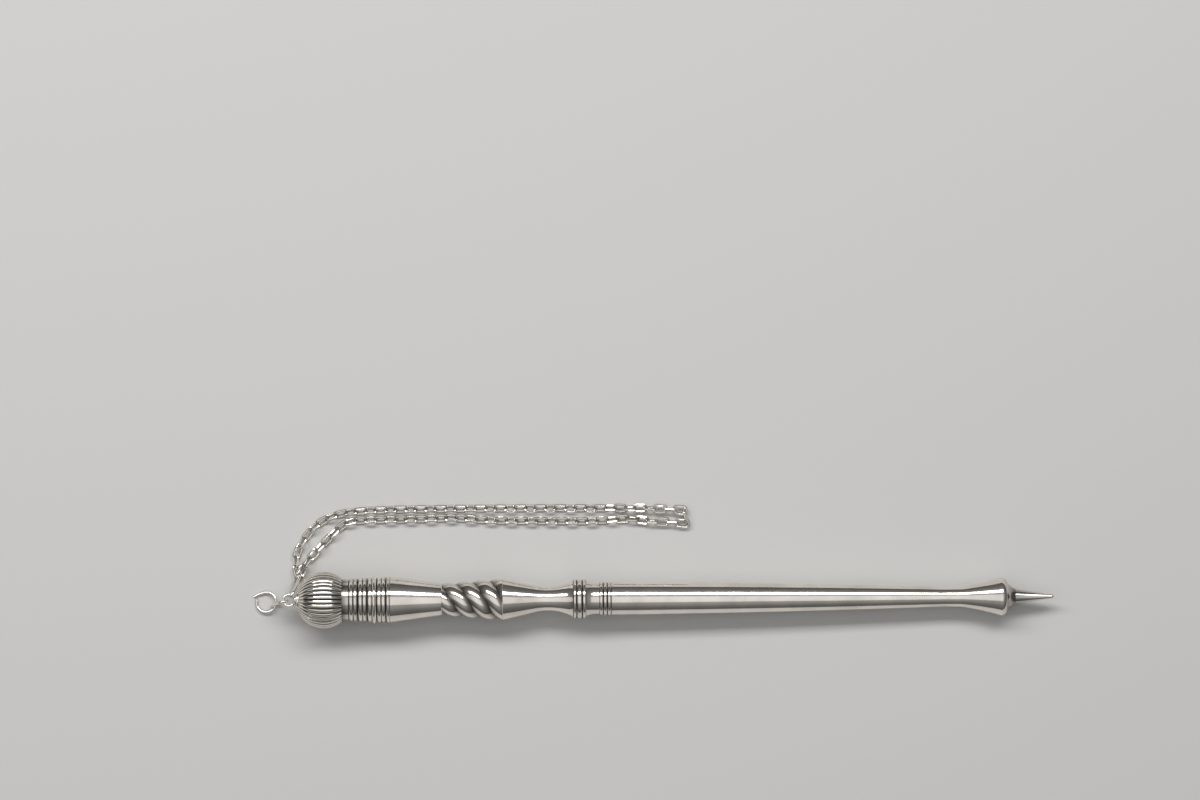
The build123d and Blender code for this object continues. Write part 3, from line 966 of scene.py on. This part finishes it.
@dataclass
class Shaft:
    """Beaded collar, ringed ferrule, long shaft, bud and finger."""

    axis: Axis
    beads_start: float
    bead_widths: tuple[float, ...] = (0.9, 1.5, 1.0)
    bead_radius: float = 5.2
    bead_depth: float = 0.4
    bead_steps: int = 12
    scotia_length: float = 3.4
    scotia_radius: float = 4.8
    scotia_hollow: float = 0.25
    scotia_steps: int = 14
    # Fixed darkening of the hollow neck before the rings: painted shade with tarnished metal
    scotia_tarnish_shade: float = 0.15
    ring_count: int = 3
    ring_pitch: float = 1.05
    ring_depth: float = 0.3
    ferrule_radius: float = 4.4
    shaft_length: float = 91.55
    shaft_steps: int = 20
    shaft_sides: int = 128
    shaft_head_radius: float = 4.35
    shaft_middle: Station = (42.0, 3.8)
    shaft_waist: Station = (87.0, 2.62)
    shaft_foot_radius: float = 2.68
    rod_depth: float = 10.2
    tenon: Station = (5.0, 1.6)
    socket: Station = (5.2, 1.65)
    flare_length: float = 10.3
    flare_middle_radius: float = 3.7
    flare_steps: int = 18
    bud_radius: float = 5.05
    rim: Station = (1.44, 0.65)
    rim_middle: Station = (0.9, 0.22)
    rim_steps: int = 10
    front_length: float = 2.36
    front_middle: Station = (1.05, 2.8)
    front_steps: int = 14
    # Painted shade on the bud's hollowed front: its share at the shoulder and its rise towards the nose
    shoulder_shade: float = 0.35
    front_shade_rise: float = 0.6
    nose_radius: float = 2.0
    tang: Station = (4.0, 0.8)
    tang_hole: Station = (4.2, 0.85)
    finger_length: float = 10.15
    finger_base_radius: float = 1.9
    finger_tip_radius: float = 0.55
    finger_sides: int = 64
    tip_steps: int = 10
    # Painted shade at the finger's root by the bud, and how far along the finger it fades out
    root_shade: float = 0.6
    root_shade_reach: float = 1.2

    @property
    def ferrule_start(self) -> float:
        """Place where the ferrule seats on the beaded collar."""
        return self.beads_start + sum(self.bead_widths)

    @property
    def shaft_start(self) -> float:
        """Place where the shaft seats on the ferrule."""
        return self.ferrule_start + self.scotia_length + self.ring_count * self.ring_pitch

    @property
    def bud_start(self) -> float:
        """Place where the bud seats on the shaft."""
        return self.shaft_start + self.shaft_length

    def build(self) -> None:
        """Build the five pieces of the shaft."""
        self.build_beads()
        self.build_ferrule()
        self.build_shaft()
        self.build_bud()
        self.build_finger()

    def finish(self, piece: bpy.types.Object, node: str) -> None:
        """Set a piece on the axis, in place of its node, and polish it."""
        set_in_place(piece, self.axis.place())
        dress(piece, POLISHED_SILVER, Slot.POLISHED, Body.POINTER, node)

    def build_beads(self) -> None:
        """Build the collar of three half-round beads."""
        foot = self.bead_radius - self.bead_depth
        stations: list[Station] = []
        begin = self.beads_start
        for width in self.bead_widths:
            crest = (begin + width / 2, self.bead_radius)
            stations += bead((begin, foot), crest, (begin + width, foot), self.bead_steps)
            begin += width
        outline = [(self.beads_start, self.axis.bore), *stations, (begin, foot), (begin, self.axis.bore)]
        beads = turn_piece("bead_collar", outline, Closing.BORE)
        tarnish_and_shade(beads, self.bead_recess)
        self.finish(beads, "beaded_collar")

    def bead_recess(self, point: Vector) -> float:
        """Depth of a point of the collar between its beads, as a share of the full depth, which darkens it
        as painted shade with tarnished metal.
        """
        return hollow((self.bead_radius - math.hypot(point.y, point.z)) / self.bead_depth)

    def build_ferrule(self) -> None:
        """Build the ferrule: a hollow neck and three fine rings."""
        foot = self.ferrule_radius - self.ring_depth
        rings_start = self.ferrule_start + self.scotia_length
        head = (self.ferrule_start, self.scotia_radius)
        middle_radius = (self.scotia_radius + foot) / 2 - self.scotia_hollow
        middle = (self.ferrule_start + self.scotia_length / 2, middle_radius)
        stations = arc(head, middle, (rings_start, foot), self.scotia_steps)[:-1]
        for ring in range(self.ring_count):
            begin = rings_start + ring * self.ring_pitch
            crest = (begin + self.ring_pitch / 2, self.ferrule_radius)
            stations += bead((begin, foot), crest, (begin + self.ring_pitch, foot), self.bead_steps)
        end = self.shaft_start
        outline = [(self.ferrule_start, self.axis.bore), *stations, (end, foot), (end, self.axis.bore)]
        ferrule = turn_piece("fine_ring_ferrule", outline, Closing.BORE)
        tarnish_and_shade(ferrule, lambda point: self.ring_recess(point, rings_start))
        self.finish(ferrule, "ring_ferrule")

    def ring_recess(self, point: Vector, rings_start: float) -> float:
        """Depth of a point of the ferrule between its rings, as a share of the full depth, which darkens it
        as painted shade with tarnished metal; the hollow neck gets a fixed share.
        """
        if point.x < rings_start:
            return self.scotia_tarnish_shade
        return hollow((self.ferrule_radius - math.hypot(point.y, point.z)) / self.ring_depth)

    def build_shaft(self) -> None:
        """Build the long shaft, with the rod's hole at its head and a socket at its foot."""
        edge = self.axis.edge
        foot = self.bud_start
        outside = arc(
            (self.shaft_start + edge, self.shaft_head_radius),
            (self.shaft_start + self.shaft_middle[0], self.shaft_middle[1]),
            (self.shaft_start + self.shaft_waist[0], self.shaft_waist[1]),
            self.shaft_steps,
        )
        outline = [
            (self.shaft_start + self.rod_depth, self.axis.bore),
            (self.shaft_start, self.axis.bore),
            (self.shaft_start, self.shaft_head_radius - edge),
            *outside,
            (foot, self.shaft_foot_radius),
            (foot, self.socket[1]),
            (foot - self.socket[0], self.socket[1]),
        ]
        shaft = turn_piece("long_shaft", outline, Closing.POLES, self.shaft_sides)
        tarnish_and_shade(shaft, lambda point: 0.0)
        self.finish(shaft, "tapered_shaft")

    def build_bud(self) -> None:
        """Build the bud: a flare, a rounded rim and a hollowed front, with the tenon behind it."""
        rim_start = self.bud_start + self.flare_length
        foot = (self.bud_start, self.shaft_foot_radius)
        crest = (rim_start, self.bud_radius)
        shoulder = (rim_start + self.rim[0], self.bud_radius - self.rim[1])
        nose = (shoulder[0] + self.front_length, self.nose_radius)
        flare_middle = (self.bud_start + self.flare_length / 2, self.flare_middle_radius)
        rim_middle = (rim_start + self.rim_middle[0], self.bud_radius - self.rim_middle[1])
        front_middle = (shoulder[0] + self.front_middle[0], self.front_middle[1])
        outline = [
            (self.bud_start - self.tenon[0], self.tenon[1]),
            (self.bud_start, self.tenon[1]),
            *arc(foot, flare_middle, crest, self.flare_steps)[:-1],
            *arc(crest, rim_middle, shoulder, self.rim_steps)[:-1],
            *arc(shoulder, front_middle, nose, self.front_steps),
            (nose[0], self.tang_hole[1]),
            (nose[0] - self.tang_hole[0], self.tang_hole[1]),
        ]
        bud = turn_piece("smooth_bud", outline, Closing.POLES)
        # Painted shade over the back of the rim and the hollowed front, darker towards the nose
        rise = self.front_shade_rise / self.front_length
        tarnish_and_shade(bud, lambda point: self.shoulder_shade + rise * (point.x - shoulder[0]))
        self.finish(bud, "bud")

    def build_finger(self) -> None:
        """Build the slim finger with its round tip, and the tang that holds it."""
        start = self.bud_start + self.flare_length + self.rim[0] + self.front_length
        tip = start + self.finger_length
        outline = [
            (start - self.tang[0], self.tang[1]),
            (start, self.tang[1]),
            (start, self.finger_base_radius),
            *self.round_tip(tip - self.finger_tip_radius, self.tip_steps),
        ]
        finger = turn_piece("slim_finger", outline, Closing.POLES, self.finger_sides)
        # Painted shade at the finger's root, fading out along the finger
        tarnish_and_shade(finger, lambda point: self.root_shade * (1 - (point.x - start) / self.root_shade_reach))
        self.finish(finger, "finger")

    def round_tip(self, start: float, count: int) -> list[Station]:
        """Stations round the tip, up to just before its pole."""
        turns = [math.pi / 2 * step / count for step in range(count)]
        radius = self.finger_tip_radius
        return [(start + radius * math.sin(turn), radius * math.cos(turn)) for turn in turns]


@dataclass
class EyeAndRing:
    """Eyelet with its stepped seat, the link in it and the open hanging ring."""

    axis: Axis
    eye_centre: float = -2.6
    eye_radius: float = 1.5
    eye_wire: float = 0.7
    eye_steps: int = 64
    eye_sides: int = 20
    shank_radius: float = 0.8
    shank_length: float = 4.5
    shank_sides: int = 32
    shank_cap: Station = (0.3, 0.15)
    shank_clearance: float = 0.05
    # Darkening of the eyelet's shank and loop near the seat, and how far from the shank's end it reaches
    seat_side_darkening: float = 0.7
    seat_side_reach: float = 0.5
    seat_base: Station = (0.6, 2.3)
    seat_top: Station = (0.5, 1.5)
    seat_edge: float = 0.12
    seat_sides: int = 64
    # Painted shade with tarnished metal in the corner of the seat's step, and how far it reaches
    seat_tarnish_shade: float = 0.6
    seat_tarnish_shade_reach: Station = (0.2, 0.2)
    link_wire: float = 0.7
    link_steps: int = 32
    wire_sides: int = 16
    link_width: float = 3.2
    link_length: float = 9.0
    link_middle: Point = (-0.097939517, -0.000724135, 0.004425352)
    link_down: Point = (-0.374215, -0.100271, -0.921905)
    link_normal: Point = (-0.258819, 0.965926, 0.0)
    ring_radius: float = 2.6
    ring_middle: Point = (-0.101506492, -0.000349937, 0.000903443)
    ring_outward: Point = (-0.95452, 0.255763, -0.153225)
    ring_normal: Point = (0.148004, -0.039657, -0.988191)
    ring_arc: float = 310.0
    ring_steps: int = 144
    ring_straight: float = 2.4
    ring_straight_place: float = 53.0
    ring_cap: Station = (0.09, 0.07)

    def build(self) -> None:
        """Build the seat, the eyelet, the link and the hanging ring."""
        self.build_seat()
        self.build_eyelet()
        self.build_link()
        self.build_ring()

    def build_seat(self) -> None:
        """Build the stepped seat between the eyelet and the knob."""
        hole = self.shank_radius + self.shank_clearance
        step = -self.seat_base[0]
        end = step - self.seat_top[0]
        edge = self.seat_edge
        base, top = self.seat_base[1], self.seat_top[1]
        outline = [
            (0.0, hole),
            (0.0, base - edge),
            (-edge, base),
            (step + edge, base),
            (step, base - edge),
            (step, top + edge),
            (step - edge, top),
            (end + edge, top),
            (end, top - edge),
            (end, hole),
        ]
        seat = turn_piece("stepped_seat", outline, Closing.BORE, self.seat_sides)
        tarnish_and_shade(seat, self.step_recess)
        set_in_place(seat, self.axis.place())
        dress(seat, POLISHED_SILVER, Slot.POLISHED, Body.POINTER, "eye_seat")

    def step_recess(self, point: Vector) -> float:
        """Darkening of a point of the seat in the corner of its step, painted shade with tarnished metal.
        """
        along, outward = self.seat_tarnish_shade_reach
        beside = abs(point.x + self.seat_base[0]) < along
        inside = math.hypot(point.y, point.z) < self.seat_top[1] + outward
        return self.seat_tarnish_shade if beside and inside else 0.0

    def build_eyelet(self) -> None:
        """Build the eyelet: a wire ring made one with its shank."""
        end = -(self.seat_base[0] + self.seat_top[0])
        outline = [
            (end - self.shank_cap[0], self.shank_radius - self.shank_cap[1]),
            (end, self.shank_radius),
            (end + self.shank_length, self.shank_radius),
        ]
        shank = turn_piece("shank", outline, Closing.POLES, self.shank_sides)
        deselect_all()
        bpy.ops.mesh.primitive_torus_add(
            major_radius=self.eye_radius,
            minor_radius=self.eye_wire / 2,
            major_segments=self.eye_steps,
            minor_segments=self.eye_sides,
            location=(self.eye_centre, 0, 0),
        )
        eyelet = name_piece("eye_loop")
        bpy.ops.object.transform_apply(location=True, rotation=True, scale=True)
        weld = eyelet.modifiers.new("weld", "BOOLEAN")
        weld.operation = "UNION"
        weld.solver = "EXACT"
        weld.object = shank
        bpy.ops.object.modifier_apply(modifier=weld.name)
        bpy.data.meshes.remove(shank.data)
        # The eyelet is darker near the seat
        tarnish_and_shade(eyelet, lambda point: self.seat_side_darkening if point.x > end - self.seat_side_reach else 0.0)
        set_in_place(eyelet, self.axis.place())
        dress(eyelet, SILVER_WIRE, Slot.WIRE, Body.POINTER, "eyelet")

    def build_link(self) -> None:
        """Build the narrow link that hangs in the eyelet."""
        sizes = (self.link_length, self.link_width, self.link_wire)
        link = bend_link("eye_link", *sizes, self.link_steps, self.wire_sides)
        tarnish_and_shade(link, lambda point: 0.0)
        place = plane_matrix(Vector(self.link_middle), Vector(self.link_down), Vector(self.link_normal))
        set_in_place(link, place)
        dress(link, SILVER_WIRE, Slot.WIRE, Body.RING_LINK, "ring_link")

    def build_ring(self) -> None:
        """Build the open hanging ring: cut open, one end drawn out straight and both ends rounded."""
        deselect_all()
        bpy.ops.mesh.primitive_torus_add(
            major_radius=self.ring_radius,
            minor_radius=self.link_wire / 2,
            major_segments=self.ring_steps,
            minor_segments=self.wire_sides,
        )
        ring = name_piece("open_ring")
        half_step = math.pi / self.ring_steps
        opening = (math.radians(self.ring_arc) + half_step, math.tau - half_step)
        select_points(
            ring,
            lambda point: opening[0] < math.atan2(point.co.y, point.co.x) % math.tau < opening[1],
        )
        bpy.ops.mesh.delete(type="VERT")
        inside = self.ring_radius - self.link_wire
        border = border_points(ring)
        select_points(ring, lambda point: point.index in border and point.co.x > inside)
        bpy.ops.mesh.extrude_region_move(TRANSFORM_OT_translate={"value": (0, -self.ring_straight, 0)})
        for straight in (True, False):
            border = border_points(ring)
            select_points(ring, lambda point: point.index in border and (point.co.x > inside) is straight)
            bpy.ops.mesh.edge_face_add()
            bpy.ops.mesh.inset(thickness=self.ring_cap[0], depth=self.ring_cap[1])
        face_outwards(ring)
        tarnish_and_shade(ring, lambda point: 0.0)
        place = plane_matrix(Vector(self.ring_middle), Vector(self.ring_outward), Vector(self.ring_normal))
        set_in_place(ring, place @ Matrix.Rotation(math.radians(self.ring_straight_place), 4, "Z"))
        dress(ring, SILVER_WIRE, Slot.WIRE, Body.HANGING_RING, "hanging_ring")


@dataclass
class Chain:
    """Gathering link and the cable chain, folded double, with both its ends on that link."""

    gathering_wire: float = 0.7
    gathering_width: float = 3.2
    gathering_length: float = 10.0
    gathering_steps: int = 32
    gathering_sides: int = 16
    gathering_middle: Point = (-0.0939949, 0.003822814, 0.004602652)
    gathering_down: Point = (0.202229, 0.622397, -0.756125)
    gathering_normal: Point = (0.74132, -0.601809, -0.297104)
    wire: float = 0.65
    link_length: float = 4.1
    link_width: float = 2.57
    link_steps: int = 20
    link_sides: int = 10
    # Painted shade with tarnished metal inside each bend, where the next link lies, and how far it reaches
    link_end_tarnish_shade: float = 0.8
    link_end_tarnish_shade_reach: float = 0.6
    pitch: float = 2.65
    roll: float = 45.0
    wire_gap: float = 0.1
    easing_links: int = 8
    spline_order: int = 3
    spline_steps: int = 40
    far_end_roll: float = 35.0
    near_end_roll: float = 25.0
    fold_middle: Point = (0.0084, 0.0215, 0.001305)
    fold_heading: float = -80.0
    far_route: tuple[Point, ...] = (
        (-0.092985, 0.006772, 0.00115),
        (-0.09395, 0.00945, 0.00115),
        (-0.093, 0.014, 0.0011),
        (-0.0887, 0.0199, 0.00105),
        (-0.0825, 0.023, 0.00103),
        (-0.072, 0.0238, 0.00103),
        (-0.05, 0.024, 0.00103),
        (-0.025, 0.024, 0.00103),
        (-0.014, 0.0239, 0.00103),
        (-0.004, 0.0238, 0.00131),
        (0.0025, 0.0236, 0.00131),
        (0.0081, 0.023199, 0.001305),
    )
    near_route: tuple[Point, ...] = (
        (-0.092495, 0.006912, 0.002088),
        (-0.09095, 0.0101, 0.00176),
        (-0.0877, 0.0136, 0.00117),
        (-0.084, 0.0174, 0.00114),
        (-0.0806, 0.0206, 0.00108),
        (-0.0755, 0.0211, 0.00103),
        (-0.062, 0.0212, 0.00103),
        (-0.0515, 0.0216, 0.00103),
        (-0.042, 0.0207, 0.00103),
        (-0.028, 0.0206, 0.00103),
        (-0.014, 0.0204, 0.00103),
        (-0.006, 0.0213, 0.00125),
        (-0.002, 0.0204, 0.00131),
        (0.0035, 0.0202, 0.00131),
        (0.0087, 0.019801, 0.001305),
    )

    def build(self) -> None:
        sizes = (self.gathering_length, self.gathering_width, self.gathering_wire)
        gathering = bend_link("gathering_wire", *sizes, self.gathering_steps, self.gathering_sides)
        tarnish_and_shade(gathering, lambda point: 0.0)
        place = plane_matrix(
            Vector(self.gathering_middle), Vector(self.gathering_down), Vector(self.gathering_normal)
        )
        set_in_place(gathering, place)
        dress(gathering, SILVER_WIRE, Slot.WIRE, Body.CHAIN, "gathering_link")

        far = self.strand_line("far_strand", self.far_route)
        near = self.strand_line("near_strand", self.near_route)
        places = [
            *self.link_places(far, self.far_end_roll),
            self.fold_place(),
            *self.link_places(near, self.near_end_roll),
        ]
        chain = self.link_up(places)
        nodes = [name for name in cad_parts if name.startswith("chain_")]
        dress(chain, CHAIN_SILVER, Slot.CHAIN, Body.CHAIN, "fold_link", *nodes)

    def strand_line(self, name: str, route: Sequence[Point]) -> list[Vector]:
        """Points read from the smooth spline along a strand's route.

        Args:
            name: Name of the strand.
            route: Control points of the spline, in metres.

        Returns:
            Close points along the strand.
        """
        curve = bpy.data.curves.new(name, "CURVE")
        curve.dimensions = "3D"
        curve.resolution_u = self.spline_steps
        spline = curve.splines.new("NURBS")
        spline.points.add(len(route) - 1)
        for control, place in zip(spline.points, route):
            control.co = (*place, 1.0)
        spline.order_u = self.spline_order
        spline.use_endpoint_u = True
        guide = bpy.data.objects.new(name, curve)
        mesh = bpy.data.meshes.new_from_object(guide)
        line = [point.co.copy() for point in mesh.vertices]
        bpy.data.meshes.remove(mesh)
        bpy.data.objects.remove(guide)
        bpy.data.curves.remove(curve)
        return line

    def link_places(self, line: Sequence[Vector], end_roll: float) -> list[Matrix]:
        """Frames of a strand's links, by turns to one side and to the other.

        Args:
            line: Close points along the strand.
            end_roll: Turn of the first link, on the gathering link.

        Returns:
            The links' frames, from the gathering link to the fold.
        """
        reach = (self.link_length - self.wire) / 2
        length = sum((b - a).length for a, b in zip(line, line[1:])) / MM
        first = reach - (self.gathering_wire + self.wire) / 2 - self.wire_gap
        last = length - reach + self.wire + self.wire_gap
        steps = 2 * round((last - first) / (2 * self.pitch))
        places = []
        for number in range(steps + 1):
            middle, along = self.point_at(line, (first + (last - first) * number / steps) * MM)
            from_fold = steps - number
            turn = self.roll * min(1, from_fold / self.easing_links) - 90 * (from_fold % 2)
            turn += (end_roll - self.roll) * max(0, 1 - number / self.easing_links)
            level = along.cross(Vector((0, 0, 1))).normalized()
            normal = Matrix.Rotation(math.radians(turn), 3, along) @ level.cross(along)
            places.append(plane_matrix(middle, along, normal))
        return places

    @staticmethod
    def point_at(line: Sequence[Vector], reach: float) -> tuple[Vector, Vector]:
        """Point of a line and its direction there.

        Args:
            line: Close points along the line.
            reach: Distance from its start, in metres.

        Returns:
            The point and the unit direction.
        """
        for a, b in zip(line, line[1:]):
            run = (b - a).length
            if reach <= run:
                return a.lerp(b, reach / run), (b - a).normalized()
            reach -= run
        return line[-1].copy(), (line[-1] - line[-2]).normalized()

    def fold_place(self) -> Matrix:
        """Frame of the link that stands on edge across the fold."""
        turn = math.radians(self.fold_heading)
        along = Vector((math.cos(turn), math.sin(turn), 0))
        return plane_matrix(Vector(self.fold_middle), along, Vector((-along.y, along.x, 0)))

    def end_recess(self, point: Vector) -> float:
        """Darkening of a point of a link, painted shade with tarnished metal, which grows towards the bend
        where the next link lies.
        """
        reach = (self.link_length - self.wire) / 2
        if abs(point.x) >= reach:
            return 0.0
        return self.link_end_tarnish_shade * (abs(point.x) - reach + self.link_end_tarnish_shade_reach) / self.link_end_tarnish_shade_reach

    def link_up(self, places: Iterable[Matrix]) -> bpy.types.Object:
        """Bend one link, copy it to every place and join the copies.

        Args:
            places: Frames of the links.

        Returns:
            The whole chain.
        """
        sizes = (self.link_length, self.link_width, self.wire)
        model = bend_link("cable_link", *sizes, self.link_steps, self.link_sides)
        tarnish_and_shade(model, self.end_recess)
        links = []
        for place in places:
            link = model.copy()
            link.data = model.data.copy()
            bpy.context.scene.collection.objects.link(link)
            set_in_place(link, place)
            links.append(link)
        bpy.data.meshes.remove(model.data)
        deselect_all()
        for link in links:
            link.select_set(True)
        bpy.context.view_layer.objects.active = links[0]
        bpy.ops.object.join()
        return name_piece("cable_chain")


@dataclass(frozen=True)
class Lamp:
    """A rectangular lamp that lies along the pointer.

    Attributes:
        name: Name of the lamp.
        place: Where it hangs, in metres.
        size: Width and height, in metres.
        power: Light that it gives, in watts.
    """

    name: str
    place: Point
    size: tuple[float, float]
    power: float

    def hang(self) -> None:
        """Hang the lamp and tilt it towards the pointer."""
        light = bpy.data.lights.new(self.name, "AREA")
        light.shape = "RECTANGLE"
        light.size, light.size_y = self.size
        light.energy = self.power
        lamp = bpy.data.objects.new(self.name, light)
        bpy.context.scene.collection.objects.link(lamp)
        lamp.location = self.place
        lamp.rotation_euler = (-math.atan2(self.place[1], self.place[2]), 0, 0)


@dataclass
class Studio:
    """Pale floor, soft lamps, a plain surround and the camera above the pointer."""

    target: Point = (-0.0137, 0.052, 0.006)
    elevation: float = 87.0
    turn: float = 0.32
    lens: float = 180.0
    view_width: float = 0.3142
    sensor: float = 36.0
    clip: tuple[float, float] = (0.01, 20.0)
    floor_size: float = 4.0
    floor_colour: Point = (0.6, 0.59, 0.575)
    floor_roughness: float = 0.85
    lamps: tuple[Lamp, ...] = (
        Lamp("key_lamp", (-0.2, 0.57, 0.85), (1.4, 0.24), 9.0),
        Lamp("overhead_lamp", (-0.7, -0.13, 0.95), (2.6, 0.72), 2.5),
    )
    horizon_grey: float = 0.08
    middle_height: float = 0.45
    middle_grey: float = 0.15
    zenith_grey: float = 0.4

    def build(self) -> None:
        """Build the camera, the floor, the lamps and the surround."""
        self.build_camera()
        self.build_floor()
        self.build_lamps()
        self.build_surround()
        bpy.context.scene.view_settings.view_transform = "Standard"

    def build_camera(self) -> None:
        """Put the camera above the pointer, a little towards its near side."""
        lens = bpy.data.cameras.new("camera")
        lens.lens = self.lens
        lens.sensor_width = self.sensor
        lens.clip_start, lens.clip_end = self.clip
        camera = bpy.data.objects.new("camera", lens)
        bpy.context.scene.collection.objects.link(camera)
        tilt = math.radians(self.elevation)
        back = Vector((0, -math.cos(tilt), math.sin(tilt)))
        distance = self.view_width * self.lens / self.sensor
        camera.location = Vector(self.target) + back * distance
        aim = (-back).to_track_quat("-Z", "Y").to_matrix().to_4x4()
        camera.rotation_euler = (aim @ Matrix.Rotation(-math.radians(self.turn), 4, "Z")).to_euler()
        bpy.context.scene.camera = camera

    def build_floor(self) -> None:
        """Lay the pale floor."""
        deselect_all()
        bpy.ops.mesh.primitive_plane_add(size=self.floor_size)
        floor = name_piece("floor")
        paint = bpy.data.materials.new("floor_paint")
        paint.use_nodes = True
        shader = paint.node_tree.nodes["Principled BSDF"]
        shader.inputs["Base Color"].default_value = (*self.floor_colour, 1.0)
        shader.inputs["Roughness"].default_value = self.floor_roughness
        floor.data.materials.append(paint)

    def build_lamps(self) -> None:
        """Hang a soft lamp over the far side and a wide, weaker one overhead."""
        for lamp in self.lamps:
            lamp.hang()

    def build_surround(self) -> None:
        """Set the surround: grey overhead, falling to near black at the horizon."""
        world = bpy.data.worlds.new("surround")
        bpy.context.scene.world = world
        world.use_nodes = True
        tree = world.node_tree
        back = tree.nodes["Background"]
        place = tree.nodes.new("ShaderNodeTexCoord")
        parts = tree.nodes.new("ShaderNodeSeparateXYZ")
        ramp = tree.nodes.new("ShaderNodeValToRGB")
        tree.links.new(place.outputs["Generated"], parts.inputs["Vector"])
        tree.links.new(parts.outputs["Z"], ramp.inputs["Fac"])
        tree.links.new(ramp.outputs["Color"], back.inputs["Color"])
        low, high = ramp.color_ramp.elements
        low.position, low.color = 0.0, (*[self.horizon_grey] * 3, 1.0)
        high.position, high.color = 1.0, (*[self.zenith_grey] * 3, 1.0)
        middle = ramp.color_ramp.elements.new(self.middle_height)
        middle.color = (*[self.middle_grey] * 3, 1.0)


def main() -> None:
    """Build the scene, piece by piece."""
    logging.basicConfig(level=logging.INFO, format="%(message)s")
    axis = Axis()
    Studio().build()
    Chain().build()
    EyeAndRing(axis).build()
    handle = Handle(axis)
    handle.build()
    Shaft(axis, handle.sleeve_end).build()


if __name__ == "__main__":
    main()
